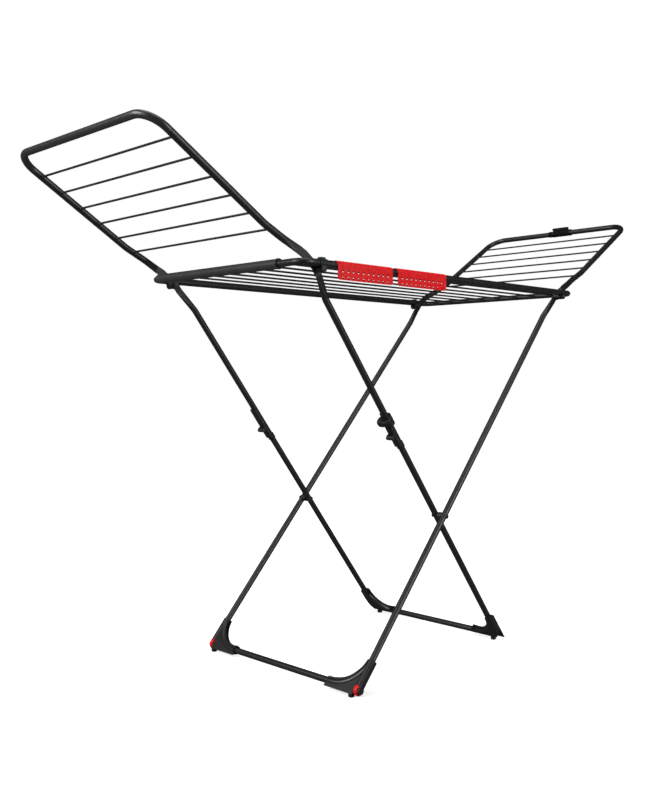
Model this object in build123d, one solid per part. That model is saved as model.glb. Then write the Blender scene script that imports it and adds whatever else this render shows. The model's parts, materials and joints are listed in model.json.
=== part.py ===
from build123d import *
from math import cos, pi, radians, sin
import os

os.makedirs("parts", exist_ok=True)

# Folding winged clothes drying rack, millimetres, +Z up, +X along the rack, near side at -Y.

# main frame
FRAME_Z = 982.0
BAR_X = 550.0
SIDE_Y = 275.0
FRAME_R = 8.0
WALL = 0.8
CORNER_R = 28.0
SLEEVE_R = 11.3
SLEEVE_END_Y = -201.0
SEAM_R = 12.2
SEAM_WIDTH = 4.0
WIRE_R = 2.5
WIRE_COUNT = 8
WIRE_PITCH = 2 * SIDE_Y / (WIRE_COUNT + 1)

# hinges under the side tubes, y measured outwards from the middle
PIVOT_X = 493.0
PIVOT_Z = 971.0
RIVET_R = 3.0
RUNNING_FIT = 0.05
PLATE = 4.0
ARM_PLATE_IN = 257.7
LEG_PLATE_IN = 253.3
HEAD_IN = 250.6
HEAD_OUT = 253.0
BRACKET_IN = 262.0
BRACKET_OUT = 283.6
RIVET_BLIND = 267.0
BRACKET_HALF = 12.0
LUG_R = 8.5
CLAMP_R = 9.8
RIDGE_HALF = 7.0
RIDGE_TOP = 12.5

# wings
ARM_Y = 254.8
ARM_R = 8.25
ARM_P1 = (530.0, 999.0)
ARM_P2 = (640.0, 1051.8)
WING_BAR = (924.8, 1228.3)
ARM_BEND_R = 120.0
WING_CORNER_R = 50.0
WING_SPLIT = 55.0
ARM_EYE_R = 10.0
ARM_FLAT_HALF = 9.0
ARM_FLAT_RUN = 20.0
ARM_LOFT_RUN = 45.0
WING_WIRE_COUNT = 6
WING_WIRE_FIRST = 71.6
WING_WIRE_PITCH = 56.64

# legs, s is the distance down a leg from its pivot in the XZ plane
LEG_R = 8.0
LEG_EYE_R = 8.5
LEG_FLAT_RUN = 18.0
LEG_LOFT_END = 78.0
KNEE_FOOT_X = 258.7
WHEEL_FOOT_X = -383.1
KNEE_LEG_Y = (239.5, -0.0087)
WHEEL_LEG_Y = (247.5, 0.0137)
BASE_Z = 18.4
BASE_BEND_R = 80.0
BASE_SPLIT = 90.0

# knee
KNEE_S = 470.0
KNEE_OFFSET = 17.0
KNEE_GAP = 0.3
KNUCKLE_R = 6.0
KNUCKLE_CLEAR = 6.5
KNEE_IN = 225.6
KNEE_OUT = 244.9
CENTRE_KNUCKLE = (230.0, 239.0)
SIDE_KNUCKLE_GAP = 0.25
PIN_R = 2.5
HOUSING_BACK = 12.0
HOUSING_FRONT = 0.5
UPPER_NECK_START = 405.0
UPPER_BODY_START = 444.0
NECK_R = 10.6
LOWER_BODY_END = 503.0
LOWER_COLLAR_END = 513.0
LOWER_COLLAR_R = 9.8

# lock ring on the near knee
LOCK_START = 416.0
LOCK_END = 443.0
LOCK_R = 13.6
LOCK_CROWN_START = 420.0
LOCK_CROWN_END = 434.0
LOCK_CROWN_R = 19.0
LOCK_CROWN_BACK = 4.0
LOCK_CROWN_INWARD = 5.0
LOCK_GRIP_REACH = 23.0
LOCK_BORE = 10.9

# feet, each drawn in the plane of its leg frame as (|y|, height), depth across that plane
FOOT_CUT_Z = 9.6
WHEEL_FOOT_DEPTH = (-8.5, 5.0)
WHEEL_FOOT_OUT = 274.0
WHEEL_FOOT_END = 168.0
WHEEL_FOOT_TOP = 74.0
WHEEL_FOOT_ARC = [
    (WHEEL_FOOT_END, 26), (183, 25), (198, 27), (215, 31), (229, 38), (240, 47), (248, 57),
    (252, 66), (254, WHEEL_FOOT_TOP),
]
WHEEL_FOOT_EDGE = [
    (WHEEL_FOOT_OUT, WHEEL_FOOT_TOP), (WHEEL_FOOT_OUT, -30), (WHEEL_FOOT_END, -30),
]
KNEE_FOOT_DEPTH = (-6.0, 8.0)
KNEE_FOOT_PLATE = (8.0, 10.7)
KNEE_FOOT_END = 147.0
KNEE_FOOT_TOP = 75.0
KNEE_FOOT_ARC = [
    (KNEE_FOOT_END, 25.5), (172, 23.5), (190, 27.5), (204, 37), (213, 48), (217.5, 60),
    (219.5, KNEE_FOOT_TOP),
]
KNEE_FOOT_EDGE = [
    (243, KNEE_FOOT_TOP), (243, 45), (241, 31), (236, 21), (227, 12), (215, 6),
    (KNEE_FOOT_END, 6),
]
KNEE_PLATE_EDGE = [(241, KNEE_FOOT_TOP), (241, -30), (KNEE_FOOT_END, -30)]
WHEEL_X = -364.0
WHEEL_Z = 16.0
WHEEL_R = 13.0
WHEEL_IN = 259.5
WHEEL_OUT = 269.5
WHEEL_SIDE_GAP = 0.7
WHEEL_POCKET_R = 14.6
CHEEK_R = 9.0
AXLE_R = 2.0
AXLE_IN = 254.0
AXLE_OUT = 272.5
PAD_HALF_X = 5.5
PAD_ROUND = 1.5
WHEEL_PAD = (-374.0, 247.0, 257.0)
WHEEL_RIDGE_R = 8.7
WHEEL_RIDGE_END_Z = 24.0
KNEE_PAD = (251.0, 207.0, 217.0)

# hanger strips
STRIP_INNER_R = 8.3
STRIP_OUTER_R = 9.4
STRIP_BOTTOM_Z = 949.0
STRIP_HOOK_END = radians(70)
STRIPS = {"flap_1": (-452.0, -268.0), "flap_2": (-250.0, -66.0)}
STRIP_HOLES = 10
STRIP_HOLE_R = 2.8
STRIP_HOLE_ROWS = (953.4, 968.7)
STRIP_CORNER_R = 7.0

# latch clip on the right wing's outer bar
LATCH_NEAR_Y = -56.0
LATCH_STEP_Y = 8.0
LATCH_FAR_Y = 26.0
LATCH_R = 10.6
LATCH_SLIM_R = 9.8
LATCH_TAB_TOP = 20.0
LATCH_TAB_THICK = 4.0
LATCH_TAB_FOOT_Y = (-49.0, 8.0)
LATCH_TAB_TIP_Y = (-45.0, 16.0)

LEFT_PIVOT = Vector(-PIVOT_X, 0, PIVOT_Z)
RIGHT_PIVOT = Vector(PIVOT_X, 0, PIVOT_Z)
KNEE_DIR = (Vector(KNEE_FOOT_X, 0, 0) - LEFT_PIVOT).normalized()
WHEEL_DIR = (Vector(WHEEL_FOOT_X, 0, 0) - RIGHT_PIVOT).normalized()


def save(name, *solids):
    shape = solids[0] if len(solids) == 1 else Compound(children=list(solids))
    shape.label = name
    export_step(shape, f"parts/{name}.step")
    print(f"{name}: {sum(s.volume for s in solids):.1f} mm3")


def far(shape):
    return mirror(shape, about=Plane.XZ)


def left(shape):
    return mirror(shape, about=Plane.YZ)


def first_solid(shape):
    return max(shape.solids(), key=lambda s: s.volume)


def rod(start, end, radius):
    span = end - start
    return first_solid(extrude(Plane(origin=start, z_dir=span) * Circle(radius), amount=span.length))


def ring_rod(start, end, radius, bore):
    span = end - start
    section = Circle(radius) - Circle(bore)
    return first_solid(extrude(Plane(origin=start, z_dir=span) * section, amount=span.length))


def flat_to_round(flat_at, round_at, flat_dir, round_dir, width, radius):
    """Solid transition from a flattened tube end to the full round."""
    across = (0, 1, 0)
    flat = Plane(origin=flat_at, x_dir=across, z_dir=flat_dir) * Rectangle(PLATE, width)
    turns = [pi / 4 + pi / 2 * quarter for quarter in range(4)]
    arcs = [
        ThreePointArc(*[(radius * cos(turn + part), radius * sin(turn + part))
                        for part in (0, pi / 4, pi / 2)])
        for turn in turns
    ]
    full = Plane(origin=round_at, x_dir=across, z_dir=round_dir) * make_face(arcs)
    return loft([flat, full])


def y_rod(x, z, y_from, y_to, radius):
    return rod(Vector(x, y_from, z), Vector(x, y_to, z), radius)


def swept(points, bend_r, section):
    path = FilletPolyline(*points, radius=bend_r)
    start = Plane(origin=path @ 0, z_dir=path % 0)
    return first_solid(sweep(start * section, path=path))


def bent_tube(points, bend_r, radius):
    return swept(points, bend_r, Circle(radius) - Circle(radius - WALL))


def bent_rod(points, bend_r, radius):
    return swept(points, bend_r, Circle(radius))


def block(x0, x1, y0, y1, z0, z1):
    box = Box(x1 - x0, y1 - y0, z1 - z0)
    return Pos((x0 + x1) / 2, (y0 + y1) / 2, (z0 + z1) / 2) * box


# ---------------------------------------------------------------- main frame
def end_bar_points(side):
    run_in = side * (BAR_X - CORNER_R)
    corner = side * BAR_X
    return [
        Vector(run_in, -SIDE_Y, FRAME_Z),
        Vector(corner, -SIDE_Y, FRAME_Z),
        Vector(corner, SIDE_Y, FRAME_Z),
        Vector(run_in, SIDE_Y, FRAME_Z),
    ]


def side_tube():
    reach = BAR_X - CORNER_R
    start = Vector(-reach, -SIDE_Y, FRAME_Z)
    end = Vector(reach, -SIDE_Y, FRAME_Z)
    return ring_rod(start, end, FRAME_R, FRAME_R - WALL)


end_bar_rods = [bent_rod(end_bar_points(side), CORNER_R - 0.01, FRAME_R) for side in (-1, 1)]
wire_y = [(i + 1) * WIRE_PITCH - SIDE_Y for i in range(WIRE_COUNT)]
raw_wires = [rod(Vector(-BAR_X, y, FRAME_Z), Vector(BAR_X, y, FRAME_Z), WIRE_R) for y in wire_y]


def drying_wire(raw):
    return first_solid(raw - end_bar_rods[0] - end_bar_rods[1])


def sleeve():
    start = Vector(-BAR_X, SLEEVE_END_Y, FRAME_Z)
    seam = Vector(-BAR_X, SLEEVE_END_Y + SEAM_WIDTH, FRAME_Z)
    end = Vector(-BAR_X, SIDE_Y - CORNER_R, FRAME_Z)
    body = rod(start, end, SLEEVE_R) + rod(start, seam, SEAM_R) - end_bar_rods[0]
    for raw in raw_wires:
        body = body - raw
    return first_solid(body)


def bracket(x):
    tube = rod(Vector(-BAR_X, -SIDE_Y, FRAME_Z), Vector(BAR_X, -SIDE_Y, FRAME_Z), FRAME_R)
    clamp = rod(
        Vector(x - BRACKET_HALF, -SIDE_Y, FRAME_Z), Vector(x + BRACKET_HALF, -SIDE_Y, FRAME_Z), CLAMP_R
    )
    ridge = block(
        x - RIDGE_HALF, x + RIDGE_HALF, -SIDE_Y - 5, -SIDE_Y + 5, FRAME_Z, FRAME_Z + RIDGE_TOP
    )
    lug = y_rod(x, PIVOT_Z, -BRACKET_OUT, -BRACKET_IN, LUG_R)
    pin = y_rod(x, PIVOT_Z, -RIVET_BLIND, -BRACKET_IN, RIVET_R)
    return first_solid(clamp + ridge + lug - tube - pin)


def hinge_rivet(x):
    shank = y_rod(x, PIVOT_Z, -RIVET_BLIND, -HEAD_OUT, RIVET_R)
    head = y_rod(x, PIVOT_Z, -HEAD_OUT, -HEAD_IN, RIVET_R * 2)
    return first_solid(shank + head)


near_tube = side_tube()
save("frame_side_tube_near", near_tube)
save("frame_side_tube_far", far(near_tube))
for end_side, end_name in ((-1, "left"), (1, "right")):
    save(f"frame_end_bar_{end_name}", bent_tube(end_bar_points(end_side), CORNER_R - 0.01, FRAME_R))
save("end_bar_sleeve", sleeve())
for number, raw_wire in enumerate(raw_wires, start=1):
    save(f"drying_wire_{number}", drying_wire(raw_wire))
left_bracket = bracket(-PIVOT_X)
right_bracket = bracket(PIVOT_X)
save("hinge_bracket_left_near", left_bracket)
save("hinge_bracket_left_far", far(left_bracket))
save("hinge_bracket_right_near", right_bracket)
save("hinge_bracket_right_far", far(right_bracket))
near_rivets = [hinge_rivet(-PIVOT_X), hinge_rivet(PIVOT_X)]
save("hinge_rivets", *near_rivets, *[far(rivet) for rivet in near_rivets])


# ---------------------------------------------------------------- wings, drawn as the right wing
def xz(point, y=0.0):
    return Vector(point[0], y, point[1])


ARM_DIR_1 = (xz(ARM_P2) - xz(ARM_P1)).normalized()
ARM_DIR_2 = (xz(WING_BAR) - xz(ARM_P2)).normalized()


def cross_section_plane(origin, direction):
    return Plane(origin=origin, x_dir=(0, 1, 0), z_dir=direction)


def arm_flat():
    pivot = (PIVOT_X, PIVOT_Z)
    lever = (xz(ARM_P1) - xz(pivot)).normalized()
    across = Vector(-lever.Z, 0, lever.X)
    corners = [
        xz(pivot) + across * ARM_EYE_R,
        xz(ARM_P1) + across * ARM_FLAT_HALF,
        xz(ARM_P1) - across * ARM_FLAT_HALF,
        xz(pivot) - across * ARM_EYE_R,
    ]
    eye = y_rod(*pivot, -ARM_PLATE_IN - PLATE, -ARM_PLATE_IN, ARM_EYE_R)
    knuckle = y_rod(*ARM_P1, -ARM_PLATE_IN - PLATE, -ARM_PLATE_IN, ARM_FLAT_HALF)
    web_face = make_face(Polyline(*[c + Vector(0, -ARM_PLATE_IN, 0) for c in corners], close=True))
    web = extrude(web_face, amount=PLATE, dir=(0, -1, 0))
    start = xz(ARM_P1, -ARM_PLATE_IN - PLATE / 2)
    strap = extrude(
        cross_section_plane(start, ARM_DIR_1) * Rectangle(PLATE, 2 * ARM_FLAT_HALF),
        amount=ARM_FLAT_RUN,
    )
    hole = y_rod(*pivot, -ARM_PLATE_IN - 2 * PLATE, -ARM_PLATE_IN + PLATE, RIVET_R + RUNNING_FIT)
    return eye + knuckle + web + strap - hole


def arm_loft():
    flat_end = xz(ARM_P1, -ARM_PLATE_IN - PLATE / 2) + ARM_DIR_1 * ARM_FLAT_RUN
    round_end = xz(ARM_P1, -ARM_Y) + ARM_DIR_1 * (ARM_FLAT_RUN + ARM_LOFT_RUN)
    return flat_to_round(flat_end, round_end, ARM_DIR_1, ARM_DIR_1, 2 * ARM_FLAT_HALF, ARM_R)


def arm_tube_points():
    start = xz(ARM_P1, -ARM_Y) + ARM_DIR_1 * (ARM_FLAT_RUN + ARM_LOFT_RUN)
    end = xz(WING_BAR, -ARM_Y) - ARM_DIR_2 * WING_SPLIT
    return [start, xz(ARM_P2, -ARM_Y), end]


def wing_arm():
    tube = bent_tube(arm_tube_points(), ARM_BEND_R, ARM_R)
    return first_solid(arm_flat() + arm_loft() + tube)


def wing_bar_points():
    corner = xz(WING_BAR, -ARM_Y)
    start = corner - ARM_DIR_2 * WING_SPLIT
    return [start, corner, Vector(corner.X, ARM_Y, corner.Z), Vector(start.X, ARM_Y, start.Z)]


def wing_wire_spot(distance):
    outer_run = (xz(WING_BAR) - xz(ARM_P2)).length
    if distance < outer_run:
        return xz(WING_BAR) - ARM_DIR_2 * distance
    return xz(ARM_P2) - ARM_DIR_1 * (distance - outer_run)


def wing_wires():
    arm_rod = bent_rod(arm_tube_points(), ARM_BEND_R, ARM_R)
    wires = []
    for index in range(WING_WIRE_COUNT):
        spot = wing_wire_spot(WING_WIRE_FIRST + WING_WIRE_PITCH * index)
        wire = y_rod(spot.X, spot.Z, -ARM_Y, ARM_Y, WIRE_R)
        wires.append(first_solid(wire - arm_rod - far(arm_rod)))
    return wires


right_arm = wing_arm()
right_bar = bent_tube(wing_bar_points(), WING_CORNER_R, ARM_R)
right_wires = wing_wires()
save("wing_right_arm_near", right_arm)
save("wing_right_arm_far", far(right_arm))
save("wing_right_outer_bar", right_bar)
save("wing_right_wires", *right_wires)
save("wing_left_arm_near", left(right_arm))
save("wing_left_arm_far", far(left(right_arm)))
save("wing_left_outer_bar", left(right_bar))
save("wing_left_wires", *[left(wire) for wire in right_wires])


def latch():
    x, z = WING_BAR
    ring = y_rod(x, z, LATCH_NEAR_Y, LATCH_STEP_Y, LATCH_R) + y_rod(
        x, z, LATCH_NEAR_Y, LATCH_FAR_Y, LATCH_SLIM_R
    )
    start_x = x - LATCH_TAB_THICK / 2
    corners = [
        Vector(start_x, LATCH_TAB_FOOT_Y[0], z),
        Vector(start_x, LATCH_TAB_FOOT_Y[1], z),
        Vector(start_x, LATCH_TAB_TIP_Y[1], z + LATCH_TAB_TOP),
        Vector(start_x, LATCH_TAB_TIP_Y[0], z + LATCH_TAB_TOP),
    ]
    tab = extrude(make_face(Polyline(*corners, close=True)), amount=LATCH_TAB_THICK, dir=(1, 0, 0))
    tab = fillet(tab.edges().filter_by(Axis.X).group_by(Axis.Z)[-1], 3)
    bore = y_rod(x, z, LATCH_NEAR_Y - 1, LATCH_FAR_Y + 1, ARM_R + RUNNING_FIT)
    return first_solid(ring + tab - bore)


save("wing_latch", latch())


# ---------------------------------------------------------------- hanger strips
def strip(x0, x1):
    outer_y = -SIDE_Y - STRIP_OUTER_R
    inner_y = -SIDE_Y - STRIP_INNER_R
    start = Vector(x0, -SIDE_Y, FRAME_Z)
    end = Vector(x1, -SIDE_Y, FRAME_Z)
    hook = ring_rod(start, end, STRIP_OUTER_R, STRIP_INNER_R)
    reach = 4 * STRIP_OUTER_R
    lip = Vector(x0, -SIDE_Y + reach * sin(STRIP_HOOK_END), FRAME_Z + reach * cos(STRIP_HOOK_END))
    keep_corners = [
        start,
        lip,
        Vector(x0, lip.Y, FRAME_Z + reach),
        Vector(x0, -SIDE_Y - reach, FRAME_Z + reach),
        Vector(x0, -SIDE_Y - reach, FRAME_Z),
    ]
    keep = extrude(make_face(Polyline(*keep_corners, close=True)), amount=x1 - x0, dir=(1, 0, 0))
    skirt = block(x0, x1, outer_y, inner_y, STRIP_BOTTOM_Z, FRAME_Z)
    skirt = fillet(skirt.edges().filter_by(Axis.Y).group_by(Axis.Z)[0], STRIP_CORNER_R)
    body = (hook & keep) + skirt
    pitch = (x1 - x0) / (STRIP_HOLES + 1)
    for row_z in STRIP_HOLE_ROWS:
        for index in range(STRIP_HOLES):
            hole_x = x0 + pitch * (index + 1)
            body = body - y_rod(hole_x, row_z, outer_y - 1, inner_y + 1, STRIP_HOLE_R)
    return first_solid(body)


for strip_name, (strip_start, strip_end) in STRIPS.items():
    save(strip_name, strip(strip_start, strip_end))


# ---------------------------------------------------------------- legs
def leg_point(pivot, direction, leg_y, s):
    return pivot + direction * s + Vector(0, -(leg_y[0] + leg_y[1] * s), 0)


def leg_top(pivot, direction, leg_y):
    flat_at = pivot + Vector(0, -LEG_PLATE_IN - PLATE / 2, 0)
    eye = y_rod(pivot.X, pivot.Z, -LEG_PLATE_IN - PLATE, -LEG_PLATE_IN, LEG_EYE_R)
    strap = extrude(
        cross_section_plane(flat_at, direction) * Rectangle(PLATE, 2 * LEG_EYE_R), amount=LEG_FLAT_RUN
    )
    round_at = leg_point(pivot, direction, leg_y, LEG_LOFT_END)
    along = leg_point(pivot, direction, leg_y, LEG_LOFT_END + 100) - round_at
    neck = flat_to_round(
        flat_at + direction * LEG_FLAT_RUN, round_at, direction, along, 2 * LEG_EYE_R, LEG_R
    )
    hole = y_rod(
        pivot.X, pivot.Z, -LEG_PLATE_IN - 2 * PLATE, -LEG_PLATE_IN + PLATE, RIVET_R + RUNNING_FIT
    )
    return eye + strap + neck - hole


def leg_tube(pivot, direction, leg_y, s0, s1):
    start = leg_point(pivot, direction, leg_y, s0)
    end = leg_point(pivot, direction, leg_y, s1)
    return ring_rod(start, end, LEG_R, LEG_R - WALL)


def leg_rod(pivot, direction, leg_y, s0, s1):
    start = leg_point(pivot, direction, leg_y, s0)
    end = leg_point(pivot, direction, leg_y, s1)
    return rod(start, end, LEG_R)


def leg_s(pivot, direction, height):
    return (height - pivot.Z) / direction.Z


def base_s(pivot, direction):
    return leg_s(pivot, direction, BASE_Z)


def base_points(pivot, direction, leg_y):
    corner_s = base_s(pivot, direction)
    start = leg_point(pivot, direction, leg_y, corner_s - BASE_SPLIT)
    corner = leg_point(pivot, direction, leg_y, corner_s)
    return [start, corner, Vector(corner.X, -corner.Y, corner.Z), Vector(start.X, -start.Y, start.Z)]


def foot_slab(pivot, direction, outward, depth, edge, arc):
    """Slab of a moulded foot in the plane of its leg frame, between two depths."""
    corner = leg_point(pivot, direction, (0, 0), base_s(pivot, direction))
    rise = -direction

    def place(y_out, height):
        up = rise * ((height - BASE_Z) / rise.Z)
        return corner + up + Vector(0, -y_out, 0) + outward * depth[0]

    inner = Spline(*[place(*point) for point in arc])
    outer = Polyline(place(*arc[-1]), *[place(*point) for point in edge], place(*arc[0]))
    return extrude(make_face([inner, outer]), amount=depth[1] - depth[0], dir=outward)


def foot_body(slabs, pivot, direction, leg_y):
    body = slabs[0]
    for slab in slabs[1:]:
        body = body + slab
    base = bent_rod(base_points(pivot, direction, leg_y), BASE_BEND_R, LEG_R)
    corner_s = base_s(pivot, direction)
    leg = leg_rod(pivot, direction, leg_y, corner_s - 3 * BASE_SPLIT, corner_s - BASE_SPLIT)
    below = block(-BAR_X, BAR_X, -SIDE_Y, 0, -SIDE_Y, FOOT_CUT_Z)
    return body - base - leg - below


# wheel legs, the outer pair
KNEE_CORNER_S = base_s(LEFT_PIVOT, KNEE_DIR)
WHEEL_CORNER_S = base_s(RIGHT_PIVOT, WHEEL_DIR)
WHEEL_FACE = Vector(WHEEL_DIR.Z, 0, -WHEEL_DIR.X)
KNEE_FACE = Vector(-KNEE_DIR.Z, 0, KNEE_DIR.X)
CROSS_X = -37.676
CROSS_Z = 382.84
CROSS_S_WHEEL = (Vector(CROSS_X, 0, CROSS_Z) - RIGHT_PIVOT).length
CROSS_S_KNEE = (Vector(CROSS_X, 0, CROSS_Z) - LEFT_PIVOT).length
CROSS_RIVET_R = 2.5
CROSS_HEAD_R = 6.0
CROSS_HEAD = 2.2
SPACER_R = 9.0
OPEN_PIVOT_GAP = 1.0
CROSS_WHEEL_Y = WHEEL_LEG_Y[0] + WHEEL_LEG_Y[1] * CROSS_S_WHEEL
CROSS_KNEE_Y = KNEE_LEG_Y[0] + KNEE_LEG_Y[1] * CROSS_S_KNEE
SPACER_IN = CROSS_KNEE_Y + LEG_R + OPEN_PIVOT_GAP


def wheel_leg():
    top = leg_top(RIGHT_PIVOT, WHEEL_DIR, WHEEL_LEG_Y)
    tube = leg_tube(RIGHT_PIVOT, WHEEL_DIR, WHEEL_LEG_Y, LEG_LOFT_END, WHEEL_CORNER_S - BASE_SPLIT)
    hole = y_rod(CROSS_X, CROSS_Z, -CROSS_WHEEL_Y - 20, -CROSS_WHEEL_Y + 20, CROSS_RIVET_R)
    return first_solid(top + tube - hole)


def crossing_rivet():
    outer = -CROSS_WHEEL_Y - LEG_R
    shank = y_rod(CROSS_X, CROSS_Z, outer - CROSS_HEAD / 2, -SPACER_IN, CROSS_RIVET_R)
    head = y_rod(CROSS_X, CROSS_Z, outer - CROSS_HEAD, outer + 0.9, CROSS_HEAD_R)
    near_leg = leg_rod(RIGHT_PIVOT, WHEEL_DIR, WHEEL_LEG_Y, 100, WHEEL_CORNER_S - BASE_SPLIT)
    return first_solid((head - near_leg) + shank)


def crossing_spacer():
    body = y_rod(CROSS_X, CROSS_Z, -CROSS_WHEEL_Y, -SPACER_IN, SPACER_R)
    near_leg = leg_rod(RIGHT_PIVOT, WHEEL_DIR, WHEEL_LEG_Y, 100, WHEEL_CORNER_S - BASE_SPLIT)
    shank = y_rod(CROSS_X, CROSS_Z, -CROSS_WHEEL_Y, -SPACER_IN, CROSS_RIVET_R)
    return first_solid(body - near_leg - shank)


def wheel_foot():
    slab = foot_slab(
        RIGHT_PIVOT, WHEEL_DIR, WHEEL_FACE, WHEEL_FOOT_DEPTH, WHEEL_FOOT_EDGE, WHEEL_FOOT_ARC
    )
    ridge = rod(
        leg_point(RIGHT_PIVOT, WHEEL_DIR, WHEEL_LEG_Y, leg_s(RIGHT_PIVOT, WHEEL_DIR, WHEEL_FOOT_TOP)),
        leg_point(RIGHT_PIVOT, WHEEL_DIR, WHEEL_LEG_Y, leg_s(RIGHT_PIVOT, WHEEL_DIR, WHEEL_RIDGE_END_Z)),
        WHEEL_RIDGE_R,
    )
    body = foot_body([slab, ridge], RIGHT_PIVOT, WHEEL_DIR, WHEEL_LEG_Y)
    pocket_in = WHEEL_IN - WHEEL_SIDE_GAP
    pocket_out = WHEEL_OUT + WHEEL_SIDE_GAP
    around_wheel = block(
        WHEEL_X - 2 * WHEEL_R, WHEEL_X + 2 * WHEEL_R, -WHEEL_FOOT_OUT - 1, -pocket_in, 0, WHEEL_Z
    )
    pocket = y_rod(WHEEL_X, WHEEL_Z, -pocket_out, -pocket_in, WHEEL_POCKET_R)
    cheek = y_rod(WHEEL_X, WHEEL_Z, -WHEEL_FOOT_OUT, -pocket_out, CHEEK_R)
    axle = y_rod(WHEEL_X, WHEEL_Z, -AXLE_OUT, -AXLE_IN, AXLE_R)
    return first_solid(body - around_wheel - pocket + cheek - axle)


def wheel():
    tyre = y_rod(WHEEL_X, WHEEL_Z, -WHEEL_OUT, -WHEEL_IN, WHEEL_R)
    rims = tyre.edges().filter_by(GeomType.CIRCLE)
    bore = y_rod(WHEEL_X, WHEEL_Z, -WHEEL_OUT - 1, -WHEEL_IN + 1, AXLE_R + RUNNING_FIT)
    return first_solid(fillet(rims, 2.5) - bore)


def foot_pad(x, y_in, y_out):
    pad = block(x - PAD_HALF_X, x + PAD_HALF_X, -y_out, -y_in, 0, FOOT_CUT_Z)
    return first_solid(fillet(pad.edges().group_by(Axis.Z)[0], PAD_ROUND))


near_wheel_leg = wheel_leg()
save("outer_leg_near", near_wheel_leg)
save("outer_leg_far", far(near_wheel_leg))
save(
    "outer_leg_base",
    bent_tube(base_points(RIGHT_PIVOT, WHEEL_DIR, WHEEL_LEG_Y), BASE_BEND_R, LEG_R),
)
near_wheel_foot = wheel_foot()
save("outer_foot_near", near_wheel_foot)
save("outer_foot_far", far(near_wheel_foot))
near_wheel_pad = foot_pad(*WHEEL_PAD)
save("outer_foot_pads", near_wheel_pad, far(near_wheel_pad))
near_axle = y_rod(WHEEL_X, WHEEL_Z, -AXLE_OUT, -AXLE_IN, AXLE_R)
save("wheel_axles", near_axle, far(near_axle))
near_wheel = wheel()
save("wheel_near", near_wheel)
save("wheel_far", far(near_wheel))
near_crossing = crossing_rivet()
save("crossing_rivets", near_crossing, far(near_crossing))
near_spacer = crossing_spacer()
save("crossing_spacers", near_spacer, far(near_spacer))

# knee legs, the inner pair; local frame: x down the leg, y to the front, z outwards
KNEE_PLANE = Plane(origin=LEFT_PIVOT, x_dir=KNEE_DIR, z_dir=(0, -1, 0))


def local_block(s0, s1, front0, front1, out0, out1):
    return KNEE_PLANE * block(s0, s1, front0, front1, out0, out1)


def local_pin(radius, out0, out1):
    pin = Pos(KNEE_S, -KNEE_OFFSET, (out0 + out1) / 2) * Cylinder(radius, out1 - out0)
    return KNEE_PLANE * pin


def local_collar(s0, s1, radius):
    middle = KNEE_LEG_Y[0] + KNEE_LEG_Y[1] * (s0 + s1) / 2
    collar = Pos((s0 + s1) / 2, 0, middle) * (Rot(0, 90, 0) * Cylinder(radius, s1 - s0))
    return KNEE_PLANE * collar


def knee_housing(body_from, body_to):
    """Moulded half shell behind the tube, rounded along its length."""
    shell = block(body_from, body_to, -HOUSING_BACK, HOUSING_FRONT, KNEE_IN, KNEE_OUT)
    back = shell.edges().filter_by(Axis.X).group_by(Axis.Y)[0]
    return KNEE_PLANE * fillet(back, 5)


def full_knee_rod():
    return leg_rod(LEFT_PIVOT, KNEE_DIR, KNEE_LEG_Y, 300, 700)


def upper_housing(full_back):
    """Slim behind the tube where the lock ring slides over it, full depth on the other knee."""
    side_out = (CENTRE_KNUCKLE[1] + SIDE_KNUCKLE_GAP, KNEE_OUT)
    side_in = (KNEE_IN, CENTRE_KNUCKLE[0] - SIDE_KNUCKLE_GAP)
    if full_back:
        body = knee_housing(UPPER_NECK_START, KNEE_S - KNEE_GAP)
    else:
        neck = local_collar(UPPER_NECK_START, UPPER_BODY_START, NECK_R)
        neck = neck & local_block(UPPER_NECK_START, UPPER_BODY_START, -NECK_R, 0, 200, 260)
        body = knee_housing(UPPER_BODY_START, KNEE_S - KNEE_GAP) + neck
    body = body - local_pin(KNUCKLE_CLEAR, side_in[1], side_out[0])
    for low, high in (side_in, side_out):
        body = body + local_pin(KNUCKLE_R, low, high)
        body = body + local_block(
            KNEE_S - KNUCKLE_R, KNEE_S - KNEE_GAP, -KNEE_OFFSET, -HOUSING_BACK + 3, low, high
        )
    return first_solid(body - full_knee_rod() - local_pin(PIN_R, KNEE_IN - 1, KNEE_OUT + 1))


def lower_housing():
    low, high = CENTRE_KNUCKLE
    body = knee_housing(KNEE_S + KNEE_GAP, LOWER_BODY_END)
    body = body + local_collar(LOWER_BODY_END - 4, LOWER_COLLAR_END, LOWER_COLLAR_R)
    body = body - local_pin(KNUCKLE_CLEAR, KNEE_IN - 1, low)
    body = body - local_pin(KNUCKLE_CLEAR, high, KNEE_OUT + 1)
    body = body + local_pin(KNUCKLE_R, low, high)
    body = body + local_block(
        KNEE_S + KNEE_GAP, KNEE_S + KNUCKLE_R, -KNEE_OFFSET, -HOUSING_BACK + 3, low, high
    )
    hole = local_pin(PIN_R + RUNNING_FIT, KNEE_IN - 1, KNEE_OUT + 1)
    return first_solid(body - full_knee_rod() - hole)


def upper_leg():
    top = leg_top(LEFT_PIVOT, KNEE_DIR, KNEE_LEG_Y)
    tube = leg_tube(LEFT_PIVOT, KNEE_DIR, KNEE_LEG_Y, LEG_LOFT_END, KNEE_S - KNEE_GAP)
    return first_solid(top + tube)


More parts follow.
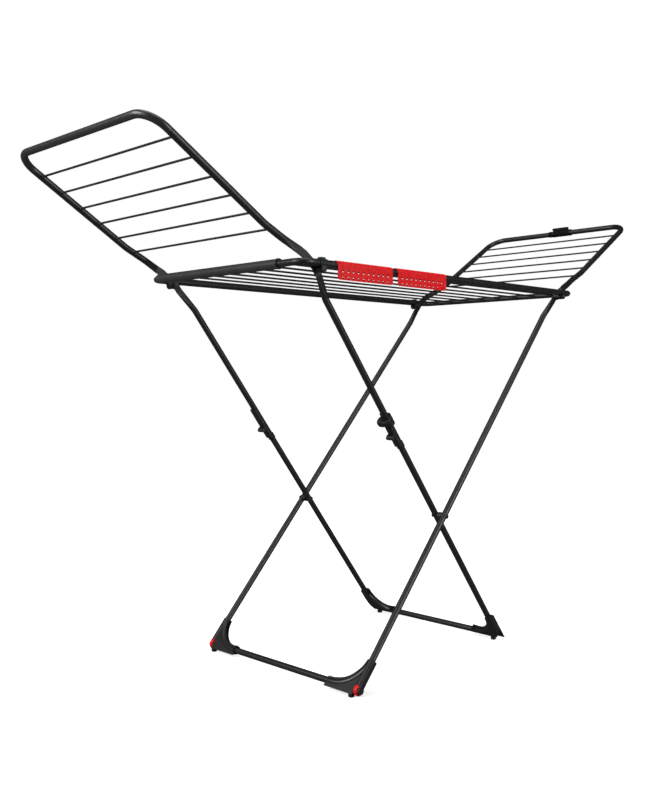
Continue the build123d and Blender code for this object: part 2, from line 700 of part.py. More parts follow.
def knee_lock():
    ring = local_collar(LOCK_START, LOCK_END, LOCK_R)
    middle = KNEE_LEG_Y[0] + KNEE_LEG_Y[1] * LOCK_START
    crown_at = Pos(
        (LOCK_CROWN_START + LOCK_CROWN_END) / 2, -LOCK_CROWN_BACK, middle - LOCK_CROWN_INWARD
    )
    crown = crown_at * (Rot(0, 90, 0) * Cylinder(LOCK_CROWN_R, LOCK_CROWN_END - LOCK_CROWN_START))
    crown = KNEE_PLANE * fillet(crown.edges().filter_by(GeomType.CIRCLE), 4)
    grip = local_block(
        LOCK_START, LOCK_CROWN_END - 2, -LOCK_GRIP_REACH, 0, middle - 12, middle + 2
    )
    grip = fillet(grip.edges().filter_by(Axis.Y), 3)
    bore = local_collar(LOCK_START - 40, LOCK_END + 40, LOCK_BORE)
    return first_solid(ring + crown + grip - bore)


def knee_foot():
    slabs = [
        foot_slab(LEFT_PIVOT, KNEE_DIR, KNEE_FACE, depth, edge, KNEE_FOOT_ARC)
        for depth, edge in ((KNEE_FOOT_DEPTH, KNEE_FOOT_EDGE), (KNEE_FOOT_PLATE, KNEE_PLATE_EDGE))
    ]
    return first_solid(foot_body(slabs, LEFT_PIVOT, KNEE_DIR, KNEE_LEG_Y))


def crossing_cap():
    inner = -CROSS_KNEE_Y + LEG_R
    head = y_rod(CROSS_X, CROSS_Z, inner - 0.9, inner + CROSS_HEAD, CROSS_HEAD_R)
    return first_solid(head - full_knee_rod_lower())


def full_knee_rod_lower():
    return leg_rod(LEFT_PIVOT, KNEE_DIR, KNEE_LEG_Y, 600, 900)


near_upper_leg = upper_leg()
save("upper_leg_near", near_upper_leg)
save("upper_leg_far", far(near_upper_leg))
save("knee_upper_housing_near", upper_housing(full_back=False))
save("knee_upper_housing_far", far(upper_housing(full_back=True)))
near_pin = first_solid(local_pin(PIN_R, KNEE_IN, KNEE_OUT))
save("knee_pins", near_pin, far(near_pin))
save("knee_lock", knee_lock())
near_lower_housing = lower_housing()
save("knee_lower_housing_near", near_lower_housing)
save("knee_lower_housing_far", far(near_lower_housing))
near_inner_leg = leg_tube(
    LEFT_PIVOT, KNEE_DIR, KNEE_LEG_Y, KNEE_S + KNEE_GAP, KNEE_CORNER_S - BASE_SPLIT
)
save("inner_leg_near", near_inner_leg)
save("inner_leg_far", far(near_inner_leg))
save(
    "inner_leg_base",
    bent_tube(base_points(LEFT_PIVOT, KNEE_DIR, KNEE_LEG_Y), BASE_BEND_R, LEG_R),
)
near_knee_foot = knee_foot()
save("inner_foot_near", near_knee_foot)
save("inner_foot_far", far(near_knee_foot))
near_knee_pad = foot_pad(*KNEE_PAD)
save("inner_foot_pads", near_knee_pad, far(near_knee_pad))
near_cap = crossing_cap()
save("crossing_caps", near_cap, far(near_cap))
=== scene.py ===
import json
import math
import random

import bmesh
import bpy
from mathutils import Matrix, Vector


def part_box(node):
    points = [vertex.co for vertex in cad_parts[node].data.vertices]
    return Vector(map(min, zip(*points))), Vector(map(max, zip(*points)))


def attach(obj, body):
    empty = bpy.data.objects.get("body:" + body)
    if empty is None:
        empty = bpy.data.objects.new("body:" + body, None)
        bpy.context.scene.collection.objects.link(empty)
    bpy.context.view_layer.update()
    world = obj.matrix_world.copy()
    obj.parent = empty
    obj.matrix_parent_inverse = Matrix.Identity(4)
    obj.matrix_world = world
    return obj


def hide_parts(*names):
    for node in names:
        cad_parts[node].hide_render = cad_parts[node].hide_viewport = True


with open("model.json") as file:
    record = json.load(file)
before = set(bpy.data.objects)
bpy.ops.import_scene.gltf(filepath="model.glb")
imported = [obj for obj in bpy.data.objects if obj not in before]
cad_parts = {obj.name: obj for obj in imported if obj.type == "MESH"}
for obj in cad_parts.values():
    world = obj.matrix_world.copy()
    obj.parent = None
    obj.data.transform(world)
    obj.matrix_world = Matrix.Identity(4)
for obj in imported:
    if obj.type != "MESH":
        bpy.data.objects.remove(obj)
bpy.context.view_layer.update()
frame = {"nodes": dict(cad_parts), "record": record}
NODES = frame["nodes"]
RANDOM = random.Random(7)
MM = 0.001


# ------------------------------------------------------------------ materials
class Shader:
    """A small helper round one material's node tree."""

    def __init__(self, name):
        self.mat = bpy.data.materials.new(name)
        self.mat.use_nodes = True
        self.tree = self.mat.node_tree
        self.bsdf = self.tree.nodes["Principled BSDF"]
        self.coord = self.tree.nodes.new("ShaderNodeTexCoord").outputs["Object"]

    def add(self, kind, **values):
        node = self.tree.nodes.new("ShaderNode" + kind)
        for key, value in values.items():
            setattr(node, key, value)
        return node

    def link(self, source, target):
        self.tree.links.new(source, target)

    def noise(self, scale, detail=2.0, rough=0.5, stretch=None):
        node = self.add("TexNoise")
        node.inputs["Scale"].default_value = scale
        node.inputs["Detail"].default_value = detail
        node.inputs["Roughness"].default_value = rough
        self.link(self.mapped(stretch), node.inputs["Vector"])
        return node.outputs["Fac"]

    def mapped(self, stretch):
        if stretch is None:
            return self.coord
        node = self.add("Mapping")
        node.inputs["Scale"].default_value = stretch
        self.link(self.coord, node.inputs["Vector"])
        return node.outputs["Vector"]

    def ramp(self, fac, low, high, value_low=0.0, value_high=1.0):
        node = self.add("MapRange", interpolation_type="SMOOTHSTEP")
        node.inputs["From Min"].default_value = low
        node.inputs["From Max"].default_value = high
        node.inputs["To Min"].default_value = value_low
        node.inputs["To Max"].default_value = value_high
        self.link(fac, node.inputs["Value"])
        return node.outputs["Result"]

    def math(self, operation, a, b):
        node = self.add("Math", operation=operation)
        for socket, value in zip(node.inputs, (a, b)):
            if isinstance(value, (int, float)):
                socket.default_value = value
            else:
                self.link(value, socket)
        return node.outputs[0]

    def mix(self, fac, a, b):
        node = self.add("Mix", data_type="RGBA")
        self.link(fac, node.inputs["Factor"])
        for socket, value in ((node.inputs["A"], a), (node.inputs["B"], b)):
            if isinstance(value, tuple):
                socket.default_value = (*value, 1.0)
            else:
                self.link(value, socket)
        return node.outputs["Result"]

    def edges(self, low=0.53, high=0.62):
        geometry = self.add("NewGeometry")
        return self.ramp(geometry.outputs["Pointiness"], low, high)

    def facing_up(self, low, high):
        geometry = self.add("NewGeometry")
        split = self.add("SeparateXYZ")
        self.link(geometry.outputs["Normal"], split.inputs["Vector"])
        return self.ramp(split.outputs["Z"], low, high)

    def bump(self, height, strength, distance, under=None):
        node = self.add("Bump")
        node.inputs["Strength"].default_value = strength
        node.inputs["Distance"].default_value = distance
        self.link(height, node.inputs["Height"])
        if under is not None:
            self.link(under, node.inputs["Normal"])
        return node.outputs["Normal"]

    def finish(self, color=None, rough=None, normal=None, **constants):
        for socket, value in (("Base Color", color), ("Roughness", rough), ("Normal", normal)):
            if value is not None:
                self.link(value, self.bsdf.inputs[socket])
        for key, value in constants.items():
            self.bsdf.inputs[key.replace("_", " ")].default_value = value
        return self.mat


def powder_coat(name, dark, light, worn, rough=0.42, grain=900.0):
    """Baked powder coat: orange peel, faint mottling, dust on top, rubbed edges."""
    s = Shader(name)
    peel = s.noise(grain, 3.0, 0.55)
    fine = s.noise(grain * 3.1, 2.0, 0.6)
    mottle = s.ramp(s.noise(24.0, 3.0, 0.5), 0.25, 0.75)
    rub = s.math("MULTIPLY", s.edges(0.56, 0.68), s.ramp(s.noise(160.0, 4.0, 0.7), 0.45, 0.62, 0.0, 0.6))
    dust = s.math("MULTIPLY", s.facing_up(0.45, 1.0),
                  s.ramp(s.noise(60.0, 4.0, 0.6), 0.30, 0.78, 0.05, 0.25))
    color = s.mix(rub, s.mix(dust, s.mix(mottle, dark, light), worn), worn)
    roughness = s.math("ADD", s.ramp(s.noise(120.0, 3.0, 0.6), 0.3, 0.7, rough - 0.04, rough + 0.05),
                       s.math("MULTIPLY", rub, 0.12))
    normal = s.bump(peel, 0.22, 0.00008, s.bump(fine, 0.15, 0.00003))
    return s.finish(color, roughness, normal, Specular_IOR_Level=0.50,
                    Coat_Weight=0.04, Coat_Roughness=0.30)


def moulded_plastic(name, dark, light, worn, rough=0.5, grain=1500.0, specular=0.4):
    """Injection-moulded plastic: spark-eroded grain, flow marks, whitened edges."""
    s = Shader(name)
    cells = s.add("TexVoronoi", feature="SMOOTH_F1")
    cells.inputs["Scale"].default_value = grain
    s.link(s.coord, cells.inputs["Vector"])
    flow = s.ramp(s.noise(14.0, 3.0, 0.5, (1.0, 1.0, 0.35)), 0.25, 0.75)
    rub = s.math("MULTIPLY", s.edges(0.56, 0.66), s.ramp(s.noise(210.0, 4.0, 0.7), 0.40, 0.60, 0.05, 0.5))
    scuff = s.ramp(s.noise(70.0, 5.0, 0.7, (1.0, 1.0, 4.0)), 0.64, 0.82, 0.0, 0.18)
    color = s.mix(rub, s.mix(scuff, s.mix(flow, dark, light), worn), worn)
    roughness = s.math("ADD", s.ramp(s.noise(140.0, 3.0, 0.6), 0.3, 0.7, rough - 0.04, rough + 0.05),
                       s.math("MULTIPLY", scuff, 0.2))
    normal = s.bump(cells.outputs["Distance"], 0.20, 0.00004, s.bump(s.noise(260.0, 3.0), 0.08, 0.00006))
    return s.finish(color, roughness, normal, Specular_IOR_Level=specular)


def red_plastic(name, dark, light, worn, rough=0.34):
    """Glossier dyed plastic with a little light carried under the surface."""
    s = Shader(name)
    flow = s.ramp(s.noise(26.0, 5.0, 0.6, (0.5, 1.0, 1.0)), 0.28, 0.74)
    rub = s.math("MULTIPLY", s.edges(0.53, 0.60), s.ramp(s.noise(240.0, 4.0, 0.7), 0.42, 0.62))
    color = s.mix(rub, s.mix(flow, dark, light), worn)
    roughness = s.ramp(s.noise(180.0, 4.0, 0.65), 0.3, 0.72, rough - 0.06, rough + 0.10)
    normal = s.bump(s.noise(1300.0, 2.0, 0.6), 0.22, 0.00005, s.bump(s.noise(60.0, 2.0), 0.10, 0.0002))
    return s.finish(color, roughness, normal, Specular_IOR_Level=0.28, Subsurface_Weight=0.06,
                    Subsurface_Radius=(0.004, 0.0008, 0.0006), Subsurface_Scale=0.5)


def plated_steel(name, dark, light, rough=0.36, metallic=0.85):
    """Black-zinc plated hardware: fine turning marks and a dull sheen."""
    s = Shader(name)
    marks = s.noise(700.0, 4.0, 0.7, (1.0, 0.15, 1.0))
    tone = s.ramp(s.noise(210.0, 5.0, 0.7), 0.3, 0.72)
    color = s.mix(tone, dark, light)
    roughness = s.ramp(marks, 0.3, 0.7, rough - 0.08, rough + 0.14)
    normal = s.bump(marks, 0.25, 0.00004)
    return s.finish(color, roughness, normal, Metallic=metallic)


def soft_rubber(name, dark, light):
    """Matt rubber with a fine grit."""
    s = Shader(name)
    speck = s.noise(900.0, 4.0, 0.75)
    grit = s.ramp(s.noise(330.0, 6.0, 0.8), 0.52, 0.72)
    color = s.mix(grit, dark, light)
    roughness = s.ramp(speck, 0.3, 0.7, 0.72, 0.92)
    return s.finish(color, roughness, s.bump(speck, 0.5, 0.00012), Specular_IOR_Level=0.3)


def studio_floor(name):
    """Pale floor whose far part glows, so that it meets the white background without a line.
    It is dimmer as a light source than it looks, as the white background is."""
    s = Shader(name)
    tone = s.ramp(s.noise(3.0, 4.0, 0.5), 0.3, 0.7)
    seen = s.add("LightPath").outputs["Is Camera Ray"]
    color = s.mix(seen, (0.14, 0.14, 0.14), s.mix(tone, (0.86, 0.86, 0.86), (0.89, 0.89, 0.89)))
    roughness = s.ramp(s.noise(40.0, 3.0), 0.3, 0.7, 0.75, 0.9)
    reach = s.add("VectorMath", operation="LENGTH")
    s.link(s.coord, reach.inputs[0])
    glow = s.ramp(reach.outputs["Value"], 0.9, 2.6, 0.66, 1.0)
    glow = s.math("MULTIPLY", glow, s.ramp(seen, 0.0, 1.0, 0.05, 1.0))
    s.link(glow, s.bsdf.inputs["Emission Strength"])
    s.bsdf.inputs["Emission Color"].default_value = (1.0, 1.0, 1.0, 1.0)
    return s.finish(color, roughness, s.bump(s.noise(300.0, 3.0), 0.05, 0.0002), Specular_IOR_Level=0.1)


TUBE = powder_coat("powder_coat_charcoal", (0.0055, 0.0056, 0.0058), (0.0080, 0.0081, 0.0083),
                   (0.016, 0.016, 0.0165))
WIRE = powder_coat("powder_coat_wire", (0.0065, 0.0066, 0.0068), (0.0090, 0.0091, 0.0093),
                   (0.017, 0.017, 0.0175), rough=0.38, grain=1400.0)
GRIP = moulded_plastic("grip_sleeve_plastic", (0.026, 0.026, 0.0265), (0.034, 0.034, 0.0345),
                       (0.07, 0.07, 0.07), rough=0.46, grain=1200.0)
BLACK = moulded_plastic("moulded_black_plastic", (0.0060, 0.0060, 0.0063), (0.0085, 0.0085, 0.0087),
                        (0.015, 0.015, 0.015), rough=0.48)
# Near-black material for painted shade: it darkens the sheets laid along the feet's hollow edges,
# standing in for the shade that falls there.
PAINTED_SHADE_BLACK = moulded_plastic("painted_shade_black_plastic", (0.0016, 0.0016, 0.0017), (0.0028, 0.0028, 0.0029),
                             (0.010, 0.010, 0.010), rough=0.7, specular=0.12)
# Lighter copy of the tube's powder coat: painted light for the left wing's outer bar.
LIT_OUTER_BAR = powder_coat("powder_coat_outer_bar_painted_light", (0.018, 0.0182, 0.0186), (0.024, 0.0242, 0.0246),
                        (0.045, 0.045, 0.046), rough=0.36)
RED = red_plastic("strip_red_plastic", (0.78, 0.003, 0.007), (0.88, 0.005, 0.010), (0.85, 0.04, 0.04))
WHEEL_RED = red_plastic("wheel_red_plastic", (0.66, 0.006, 0.009), (0.80, 0.010, 0.013),
                        (0.4, 0.04, 0.035), rough=0.42)
STEEL = plated_steel("dark_plated_steel", (0.05, 0.05, 0.052), (0.12, 0.12, 0.122))
RUBBER = soft_rubber("foot_rubber", (0.012, 0.012, 0.012), (0.035, 0.035, 0.034))

SLOT_MATERIAL = {
    "tube_black": TUBE,
    "grip_grey": GRIP,
    "black_plastic": BLACK,
    "red_plastic": RED,
    "wheel_red": WHEEL_RED,
    "dark_steel": STEEL,
    "foot_rubber": RUBBER,
}
node_slot = {part["node"]: part["material_slot"] for part in frame["record"]["subparts"]}


def dress(obj, material):
    obj.data.materials.clear()
    obj.data.materials.append(material)


for node_name, node_object in NODES.items():
    dress(node_object, WIRE if "wire" in node_name else SLOT_MATERIAL[node_slot[node_name]])
# The left wing's outer bar takes the lighter powder coat, painted light standing in for the light falling
# on it from the left.
dress(NODES["wing_left_outer_bar"], LIT_OUTER_BAR)
# The latch's tab is dressed in the same near-black material as the painted-shade sheets.
dress(NODES["wing_latch"], PAINTED_SHADE_BLACK)


# ------------------------------------------------------------------ the rack's layout, in metres
SIDES = (("near", -1), ("far", 1))
TUBE_R = 0.008
PIVOT_X, PIVOT_Z = 0.493, 0.971
LEFT_PIVOT = Vector((-PIVOT_X, 0.0, PIVOT_Z))
RIGHT_PIVOT = Vector((PIVOT_X, 0.0, PIVOT_Z))
# Each leg frame runs from its pivot to the place where its axis meets the floor.
KNEE_DIR = (Vector((0.2587, 0.0, 0.0)) - LEFT_PIVOT).normalized()
WHEEL_DIR = (Vector((-0.3831, 0.0, 0.0)) - RIGHT_PIVOT).normalized()
KNEE_OUT = Vector((-KNEE_DIR.z, 0, KNEE_DIR.x))
WHEEL_OUT = Vector((WHEEL_DIR.z, 0, -WHEEL_DIR.x))
BRACKET_FACE_Y = 0.2836
LATCH_BAR_X, LATCH_BAR_Z = 0.9248, 1.2283


# ------------------------------------------------------------------ small parts


def make_piece(name, bm, body, material, replaced=()):
    """Object from a bmesh, riding on a body and dressed with one material."""
    bmesh.ops.remove_doubles(bm, verts=bm.verts, dist=1e-6)
    bmesh.ops.recalc_face_normals(bm, faces=bm.faces)
    for face in bm.faces:
        face.smooth = True
    mesh = bpy.data.meshes.new(name)
    bm.to_mesh(mesh)
    bm.free()
    mesh.set_sharp_from_angle(angle=math.radians(38))
    obj = bpy.data.objects.new(name, mesh)
    bpy.context.scene.collection.objects.link(obj)
    dress(obj, material)
    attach(obj, body)
    if replaced:
        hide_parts(*replaced)
    return obj


def lathe(bm, profile, origin, axis, segments=28):
    """Turned shape, (radius, height) pairs in millimetres along the axis."""
    turn = Vector(axis).to_track_quat("Z", "Y").to_matrix()
    rings = []
    for radius, height in profile:
        count = segments if radius > 0 else 1
        ring = []
        for index in range(count):
            angle = 2 * math.pi * index / segments
            local = Vector((radius * math.cos(angle), radius * math.sin(angle), height)) * MM
            ring.append(bm.verts.new(Vector(origin) + turn @ local))
        rings.append(ring)
    for low, high in zip(rings, rings[1:]):
        for index in range(segments):
            following = index + 1
            corners = [low[index % len(low)], low[following % len(low)],
                       high[following % len(high)], high[index % len(high)]]
            unique = list(dict.fromkeys(corners))
            if len(unique) > 2:
                bm.faces.new(unique)


def rib(bm, points, radius, segments=10):
    """Round bead of moulded plastic along a row of points."""
    rings = []
    for index, point in enumerate(points):
        ahead = points[min(index + 1, len(points) - 1)] - points[max(index - 1, 0)]
        turn = ahead.to_track_quat("Z", "Y").to_matrix()
        ring = []
        for step in range(segments):
            angle = 2 * math.pi * step / segments
            around = Vector((math.cos(angle), math.sin(angle), 0)) * radius
            ring.append(bm.verts.new(point + turn @ around))
        rings.append(ring)
    for low, high in zip(rings, rings[1:]):
        for step in range(segments):
            after = (step + 1) % segments
            bm.faces.new((low[step], low[after], high[after], high[step]))
    bm.faces.new(rings[0])
    bm.faces.new(rings[-1])


def wire_ends(node, axis, side):
    """Centres of the wire ends on one side of a node."""
    verts = [v.co for v in NODES[node].data.vertices]
    limit = max(co[axis] * side for co in verts)
    tips = sorted((co for co in verts if co[axis] * side > limit - 0.004), key=lambda co: co.x * 9 + co.y)
    groups = [[tips[0]]]
    for tip in tips[1:]:
        if (tip - groups[-1][-1]).length > 0.012:
            groups.append([])
        groups[-1].append(tip)
    return [sum(group, Vector()) / len(group) for group in groups]


def weld(bm, origin, axis):
    """Weld bead where a wire meets its bar, each a little different."""
    swell = RANDOM.uniform(0.92, 1.12)
    profile = [(0, -2.2), (3.6 * swell, -2.2), (3.9 * swell, -0.4), (3.7 * swell, 0.5),
               (3.1, 1.5 * swell), (2.6, 2.6), (2.3, 3.5 * swell), (0, 3.5 * swell)]
    lathe(bm, profile, origin, axis, 18)


def weld_beads():
    """Beads between the frame's wires and end bars, and the wings' wires and arms."""
    bar_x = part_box("frame_end_bar_right")[1][0] - TUBE_R
    sleeve_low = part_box("end_bar_sleeve")[0][1]
    bm = bmesh.new()
    for number in range(1, 9):
        low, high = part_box(f"drying_wire_{number}")
        y, z = (low[1] + high[1]) / 2, (low[2] + high[2]) / 2
        weld(bm, (bar_x - TUBE_R, y, z), (-1, 0, 0))
        if y < sleeve_low:
            weld(bm, (-bar_x + TUBE_R, y, z), (1, 0, 0))
    make_piece("frame_weld_beads", bm, "main_frame", TUBE)
    for wing in ("left", "right"):
        bm = bmesh.new()
        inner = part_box(f"wing_{wing}_arm_far")[0][1] + 0.0004
        for side in (-1, 1):
            for tip in wire_ends(f"wing_{wing}_wires", 1, side):
                weld(bm, (tip.x, side * inner, tip.z), (0, -side, 0))
        make_piece(f"wing_{wing}_weld_beads", bm, f"wing_{wing}", TUBE)


RIVET_DOME = [(0, -0.8), (4.0, -0.8), (4.0, 0.0), (3.5, 0.6), (2.4, 0.9), (1.1, 1.0), (0, 1.0)]


def hinge_heads():
    """Rivet heads on the outside of the four brackets."""
    bm = bmesh.new()
    for side in (-1, 1):
        for x in (-PIVOT_X, PIVOT_X):
            lathe(bm, RIVET_DOME, (x, side * BRACKET_FACE_Y, PIVOT_Z), (0, side, 0))
    make_piece("hinge_rivet_heads", bm, "main_frame", STEEL)


WHEEL_SPOKES = 6
WHEEL_PROFILE = [
    (2.05, -4.2), (4.2, -4.2), (4.5, -3.2), (8.4, -3.0), (9.2, -4.5), (10.4, -5.0), (12.0, -4.8),
    (12.8, -4.0), (13.0, -3.0), (13.0, -0.7), (12.5, -0.4), (12.5, 0.4), (13.0, 0.7), (13.0, 3.0),
    (12.8, 4.0), (12.0, 4.8), (10.4, 5.0), (9.2, 4.5), (8.4, 3.0), (4.5, 3.2), (4.2, 4.2),
    (2.05, 4.2), (2.05, -4.2),
]


def wheels():
    """Wheels with tread groove, web and spokes, in place of the two CAD wheels."""
    for name, side in SIDES:
        low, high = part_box(f"wheel_{name}")
        centre = Vector([(a + b) / 2 for a, b in zip(low, high)])
        bm = bmesh.new()
        lathe(bm, WHEEL_PROFILE, centre, (0, side, 0), 48)
        for step in range(WHEEL_SPOKES):
            angle = 2 * math.pi * step / WHEEL_SPOKES
            spoke = Vector((math.cos(angle), 0, math.sin(angle)))
            rib(bm, [centre + spoke * 0.0040, centre + spoke * 0.0090], 0.0034, 8)
        make_piece(f"wheel_{name}_moulding", bm, f"{name}_wheel", WHEEL_RED,
                   [f"wheel_{name}"])


def leg_frame(pivot, direction, outward, side):
    """Function that places (|y|, height, depth), in millimetres, in the plane of a leg frame."""
    def place(y_out, height, depth):
        up = -direction * ((height * MM - pivot.z) / -direction.z)
        return pivot + up + Vector((0, side * y_out * MM, 0)) + outward * (depth * MM)
    return place


def curve_through(points, steps=6):
    """Smooth row of points through a few corners (Catmull-Rom)."""
    padded = [points[0] * 2 - points[1], *points, points[-1] * 2 - points[-2]]
    result = []
    for a, b, c, d in zip(padded, padded[1:], padded[2:], padded[3:]):
        for step in range(steps):
            t = step / steps
            result.append(0.5 * (2 * b + (c - a) * t + (2 * a - 5 * b + 4 * c - d) * t * t
                                 + (3 * b - a - 3 * c + d) * t ** 3))
    return result + [points[-1]]


def shade_band(bm, points, across, centre, depths, lips):
    """Thin sheet along a curved edge whose hollow side faces the centre, and its lips. Dressed near-black
    by the caller, the sheet is painted shade: it stands in for the shade along the foot's hollow edge.
    """
    rows = []
    for index, point in enumerate(points):
        ahead = points[min(index + 1, len(points) - 1)] - points[max(index - 1, 0)]
        lift = ahead.cross(across).normalized()
        if lift.dot(centre - point) < 0:
            lift = -lift
        front, back = (point + across * (depth * MM) for depth in depths)
        rows.append([bm.verts.new(front - lift * 0.0003), bm.verts.new(front + lift * 0.0005),
                     bm.verts.new(back + lift * 0.0005), bm.verts.new(back - lift * 0.0003)])
    for row, after in zip(rows, rows[1:]):
        for step in range(4):
            other = (step + 1) % 4
            bm.faces.new((row[step], row[other], after[other], after[step]))
    bm.faces.new(rows[0])
    bm.faces.new(rows[-1])
    for depth in lips:
        rib(bm, [point + across * (depth * MM) for point in points], 0.0009, 8)


SCREW = [(0, -1.0), (2.7, -1.0), (2.7, 0.3), (2.2, 0.9), (1.5, 1.1), (1.3, 0.4), (0, 0.4)]
COLLAR = [(8.1, -2.0), (10.4, -2.0), (10.8, -1.2), (10.8, 1.2), (10.4, 2.0), (8.1, 2.0), (8.1, -2.0)]
COLLAR_Y = 0.1690
# Places on the feet are (|y|, height) in millimetres, and depths lie along the leg frame's outward way.
WHEEL_FOOT_ARC = [(169, 27), (183, 26), (198, 28), (215, 32), (229, 39), (240, 48), (248, 58),
                  (252.6, 67), (254.6, 73.5)]
KNEE_FOOT_ARC = [(148, 26), (172, 24), (190, 28), (204, 37.5), (213, 48), (217.7, 60), (219.8, 74.5)]
HOLLOW_CENTRE = (0, 300, 0)
# leg frame: body, pivot, direction, outward, screws, screw depth, arc, painted-shade sheet depths, lips
FEET = {
    "outer": ("outer_legs", RIGHT_PIVOT, WHEEL_DIR, WHEEL_OUT, ((206, 17), (236, 30)), 5.0,
              WHEEL_FOOT_ARC, (-7.0, 4.2), (-7.0,)),
    "inner": ("lower_legs", LEFT_PIVOT, KNEE_DIR, KNEE_OUT, ((188, 17.5), (229, 40)), -6.0,
              KNEE_FOOT_ARC, (-4.6, 8.6), (-4.6, 8.6)),
}


def foot_details():
    """Screws of the feet, a near-black sheet of painted shade with lips along each foot's hollow edge,
    and the collar beside the far wheel foot.
    """
    for name, side in SIDES:
        for legs, (body, pivot, direction, outward, spots, depth, arc, floor, lips) in FEET.items():
            place = leg_frame(pivot, direction, outward, side)
            bm = bmesh.new()
            for spot in spots:
                lathe(bm, SCREW, place(*spot, depth), outward if depth > 0 else -outward)
            make_piece(f"{legs}_foot_{name}_screws", bm, body, BLACK)
            # Painted shade: a near-black sheet and lips along the hollow edge stand in for the shade
            # there; the far outer foot's collar joins this piece in the same near-black.
            bm = bmesh.new()
            edge = curve_through([place(*point, 0.0) for point in arc])
            shade_band(bm, edge, outward, place(*HOLLOW_CENTRE), floor, lips)
            if (legs, name) == ("outer", "far"):
                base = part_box("outer_leg_base")[0]
                lathe(bm, COLLAR, (base[0] + 0.0084, COLLAR_Y, base[2] + TUBE_R), (0, 1, 0), 32)
            make_piece(f"{legs}_foot_{name}_rims", bm, body, PAINTED_SHADE_BLACK)


LOCK_LOBES = 12
LOCK_Y = -0.2309
# (distance down the leg, radius) along one lobe
LOCK_LOBE = [(0.4222, 0.0176), (0.4236, 0.0184), (0.4270, 0.0186), (0.4304, 0.0184), (0.4318, 0.0176)]


def lock_ribs():
    """Lobes round the crown of the knee lock."""
    bm = bmesh.new()
    middle = LEFT_PIVOT + Vector((0, LOCK_Y, 0)) - KNEE_OUT * 0.004
    for index in range(LOCK_LOBES):
        angle = 2 * math.pi * (index + 0.5) / LOCK_LOBES
        away = KNEE_OUT * math.cos(angle) + Vector((0, math.sin(angle), 0))
        rib(bm, [middle + KNEE_DIR * along + away * out for along, out in LOCK_LOBE], 0.0015, 10)
    make_piece("knee_lock_ribs", bm, "lock_ring", BLACK)


LATCH_FLANGE = [(8.4, -1.0), (11.0, -1.0), (11.2, 0.0), (11.0, 1.0), (8.4, 1.0), (8.4, -1.0)]


def latch_ribs():
    """Three grip ribs on the latch's tab and a flange at both ends of its clip."""
    low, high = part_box("wing_latch")
    bm = bmesh.new()
    x = low[0] + (high[0] - low[0]) / 2 - 0.0020
    for step in range(3):
        z = high[2] - 0.0022 - 0.0026 * step
        rib(bm, [Vector((x, low[1] + 0.015, z)), Vector((x, high[1] - 0.016, z))], 0.0006, 8)
    for y in (low[1] + 0.001, low[1] + 0.063):
        lathe(bm, LATCH_FLANGE, (LATCH_BAR_X, y, LATCH_BAR_Z), (0, 1, 0), 36)
    make_piece("wing_latch_ribs", bm, "latch", BLACK)


STRIP_BORDER_TOP = 0.981
STRIP_BORDER_INSET = 0.0016
STRIP_CORNER = 0.006
CORNER_STEPS = 4


def strip_details():
    """Raised border round the hanger strips."""
    for number in (1, 2):
        low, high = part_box(f"flap_{number}")
        face, bottom = low[1], low[2] + STRIP_BORDER_INSET
        left, right = low[0] + STRIP_BORDER_INSET, high[0] - STRIP_BORDER_INSET
        border = [Vector((left, face, STRIP_BORDER_TOP))]
        for edge, way, turns in ((left, 1, range(CORNER_STEPS + 1)),
                                 (right, -1, range(CORNER_STEPS, -1, -1))):
            for turn in turns:
                angle = math.pi / 2 * turn / CORNER_STEPS
                border.append(Vector((edge + way * STRIP_CORNER * (1 - math.cos(angle)), face,
                                      bottom + STRIP_CORNER * (1 - math.sin(angle)))))
        border.append(Vector((right, face, STRIP_BORDER_TOP)))
        bm = bmesh.new()
        rib(bm, border, 0.0005, 8)
        make_piece(f"flap_{number}_rims", bm, f"strip_{number}", RED)


KNEE_OUTER_Y, KNEE_INNER_Y = 0.2449, 0.2256


def knee_screws():
    """Screws on both faces of the knee housings, above and below the knee."""
    for name, side in SIDES:
        for part, along in (("upper", 0.452), ("lower", 0.484)):
            bm = bmesh.new()
            point = LEFT_PIVOT + KNEE_DIR * along - KNEE_OUT * 0.006
            for y, way in ((KNEE_OUTER_Y, side), (KNEE_INNER_Y, -side)):
                lathe(bm, SCREW, point + Vector((0, side * y, 0)), (0, way, 0))
            make_piece(f"knee_{part}_{name}_screws", bm, f"{part}_legs", STEEL)


weld_beads()
hinge_heads()
wheels()
foot_details()
lock_ribs()
latch_ribs()
strip_details()
knee_screws()


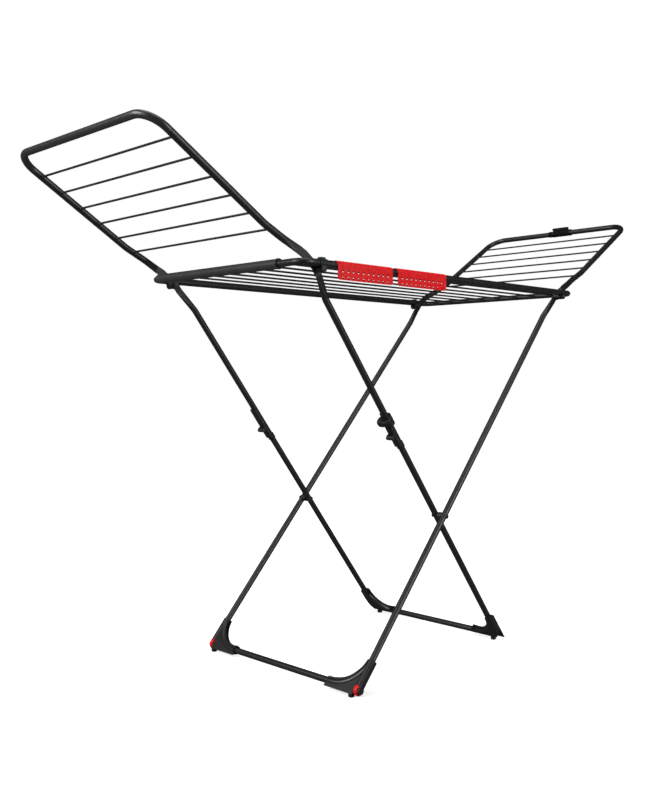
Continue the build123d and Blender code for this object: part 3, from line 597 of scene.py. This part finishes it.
# ------------------------------------------------------------------ studio
def lamp(name, location, target, size, power):
    data = bpy.data.lights.new(name, "AREA")
    data.shape = "RECTANGLE"
    data.size, data.size_y = size
    data.energy = power
    obj = bpy.data.objects.new(name, data)
    bpy.context.scene.collection.objects.link(obj)
    obj.location = location
    obj.rotation_euler = (Vector(target) - Vector(location)).to_track_quat("-Z", "Y").to_euler()


def studio_world():
    """White behind the object, dimmer as a light source."""
    world = bpy.data.worlds.new("studio_world")
    bpy.context.scene.world = world
    world.use_nodes = True
    tree = world.node_tree
    background = tree.nodes["Background"]
    background.inputs["Color"].default_value = (1.0, 1.0, 1.0, 1.0)
    ray = tree.nodes.new("ShaderNodeLightPath")
    level = tree.nodes.new("ShaderNodeMapRange")
    level.inputs["To Min"].default_value = 0.02
    level.inputs["To Max"].default_value = 1.0
    tree.links.new(ray.outputs["Is Camera Ray"], level.inputs["Value"])
    tree.links.new(level.outputs["Result"], background.inputs["Strength"])


def studio():
    """Floor, world and three soft lamps."""
    scene = bpy.context.scene
    scene.view_settings.view_transform = "Standard"
    mesh = bpy.data.meshes.new("studio_floor")
    bm = bmesh.new()
    bmesh.ops.create_circle(bm, cap_ends=True, segments=96, radius=40.0)
    bm.to_mesh(mesh)
    bm.free()
    floor = bpy.data.objects.new("studio_floor", mesh)
    scene.collection.objects.link(floor)
    dress(floor, studio_floor("studio_floor"))
    studio_world()
    centre = (0.0, 0.0, 0.75)
    lamp("key_left", (-3.6, 0.9, 2.4), centre, (2.0, 2.4), 170.0)
    lamp("top", (-0.3, -0.2, 3.8), centre, (2.6, 2.4), 45.0)
    lamp("front_right", (0.6, -3.8, 1.6), centre, (1.6, 2.4), 96.0)


def camera():
    """Camera at the photograph's viewing angle."""
    data = bpy.data.cameras.new("camera")
    data.sensor_fit = "HORIZONTAL"
    data.sensor_width = 36.0
    data.lens = 51.75
    data.clip_start, data.clip_end = 0.05, 200.0
    obj = bpy.data.objects.new("camera", data)
    bpy.context.scene.collection.objects.link(obj)
    obj.location = (-1.9155, -1.6974, 0.7350)
    obj.rotation_euler = (math.pi / 2 - 0.02818, 0.0, -0.78621)
    bpy.context.scene.camera = obj


studio()
camera()
